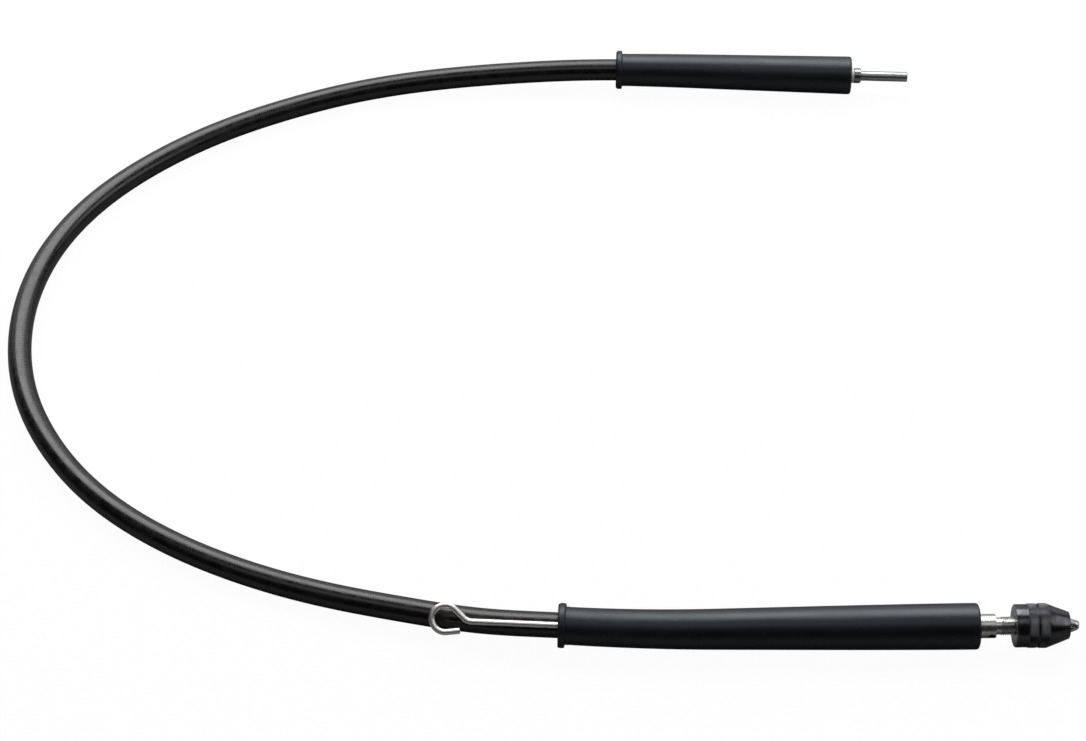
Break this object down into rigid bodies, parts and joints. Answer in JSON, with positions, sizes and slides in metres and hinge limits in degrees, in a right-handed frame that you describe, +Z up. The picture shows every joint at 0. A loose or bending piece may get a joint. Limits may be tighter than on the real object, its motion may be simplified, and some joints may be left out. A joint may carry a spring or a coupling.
{
  "type": "flexible shaft rotary tool",
  "caption": "Flexible drive shaft with a rubber-sleeved handpiece, a small three-jaw drill chuck, a plain round drive shank and a wire pin that locks the spindle.",
  "frame": {"origin": "on the floor, under the middle of the box round both ends of the tool and its lock pin, without the hose", "axes": "+X out of the handpiece towards the chuck's jaws, +Y from the handpiece to the drive end, +Z up"},
  "size_m": [0.5679, 0.4724, 0.0236],
  "materials": {
    "sleeve_rubber": "matte black rubber with a faint blue-grey bloom",
    "hose_plastic": "semi-gloss black, finely ribbed by the winding under it",
    "ground_steel": "turned and ground steel",
    "polished_steel": "polished bearing steel",
    "spring_steel": "bright drawn wire",
    "tube_steel": "plain steel tube",
    "blackened_steel": "blackened steel, semi-gloss",
    "bronze": "sintered bronze",
    "white_nylon": "white nylon"
  },
  "bodies": {
    "casing": {"drive_bush_front": "bronze", "drive_bush_rear": "bronze", "drive_ferrule": "tube_steel", "drive_housing": "tube_steel", "drive_sleeve": "sleeve_rubber", "casing_sheath": "hose_plastic", "casing_liner": "tube_steel", "flex_core": "spring_steel", "handpiece_sleeve": "sleeve_rubber", "handpiece_ferrule": "tube_steel", "handpiece_housing": "tube_steel", "rear_bearing_outer_race": "polished_steel", "front_bearing_outer_race": "polished_steel", "bearing_retainer": "tube_steel"},
    "drive_shaft": {"drive_pin": "ground_steel", "drive_stop_collar": "ground_steel", "drive_thrust_washer": "white_nylon", "drive_circlip": "spring_steel"},
    "spindle": {"spindle": "ground_steel", "chuck_body": "blackened_steel", "bearing_spacer": "tube_steel", "rear_bearing_inner_race": "polished_steel", "front_bearing_inner_race": "polished_steel", "spindle_circlip": "spring_steel"},
    "rear_cage": {"rear_bearing_cage": "polished_steel"},
    "front_cage": {"front_bearing_cage": "polished_steel"},
    "chuck_sleeve": {"chuck_sleeve": "blackened_steel", "chuck_nut_half_1": "tube_steel", "chuck_nut_half_2": "tube_steel"},
    "jaw_1": {"chuck_jaw_1": "blackened_steel"},
    "jaw_2": {"chuck_jaw_2": "blackened_steel"},
    "jaw_3": {"chuck_jaw_3": "blackened_steel"},
    "lock_pin": {"lock_pin": "spring_steel"}
  },
  "joints": [
    {"name": "spindle_spin", "type": "hinge", "parent": "casing", "child": "spindle", "pos_m": [-0.0989, -0.2244, 0.0118], "axis": [1, 0, 0], "continuous": true},
    {"name": "drive_spin", "type": "hinge", "parent": "casing", "child": "drive_shaft", "pos_m": [-0.0547, 0.2251, 0.0118], "axis": [0.9983, -0.0576, 0], "continuous": true},
    {"name": "front_cage_spin", "type": "hinge", "parent": "casing", "child": "front_cage", "pos_m": [-0.0989, -0.2244, 0.0118], "axis": [1, 0, 0], "continuous": true},
    {"name": "rear_cage_spin", "type": "hinge", "parent": "casing", "child": "rear_cage", "pos_m": [-0.0989, -0.2244, 0.0118], "axis": [1, 0, 0], "continuous": true},
    {"name": "chuck_sleeve_turn", "type": "hinge", "parent": "spindle", "child": "chuck_sleeve", "pos_m": [-0.0989, -0.2244, 0.0118], "axis": [1, 0, 0], "range_deg": [0, 1800]},
    {"name": "jaw_1_slide", "type": "slide", "parent": "spindle", "child": "jaw_1", "axis": [-0.9426, 0.2767, -0.1867], "range_m": [0, 0.0055]},
    {"name": "jaw_2_slide", "type": "slide", "parent": "spindle", "child": "jaw_2", "axis": [-0.9426, 0.0233, 0.333], "range_m": [0, 0.0055]},
    {"name": "jaw_3_slide", "type": "slide", "parent": "spindle", "child": "jaw_3", "axis": [-0.9426, -0.3, -0.1463], "range_m": [0, 0.0055]},
    {"name": "lock_pin_slide", "type": "slide", "parent": "casing", "child": "lock_pin", "axis": [-0.9976, 0.0698, 0], "range_m": [0, 0.06]}
  ],
  "couplings": [
    {"joint": "drive_spin", "follows": "spindle_spin", "ratio": -1},
    {"joint": "front_cage_spin", "follows": "spindle_spin", "ratio": 0.4089},
    {"joint": "rear_cage_spin", "follows": "spindle_spin", "ratio": 0.4089},
    {"joint": "jaw_1_slide", "follows": "chuck_sleeve_turn", "m_per_rad": 0.000175},
    {"joint": "jaw_2_slide", "follows": "chuck_sleeve_turn", "m_per_rad": 0.000175},
    {"joint": "jaw_3_slide", "follows": "chuck_sleeve_turn", "m_per_rad": 0.000175}
  ]
}
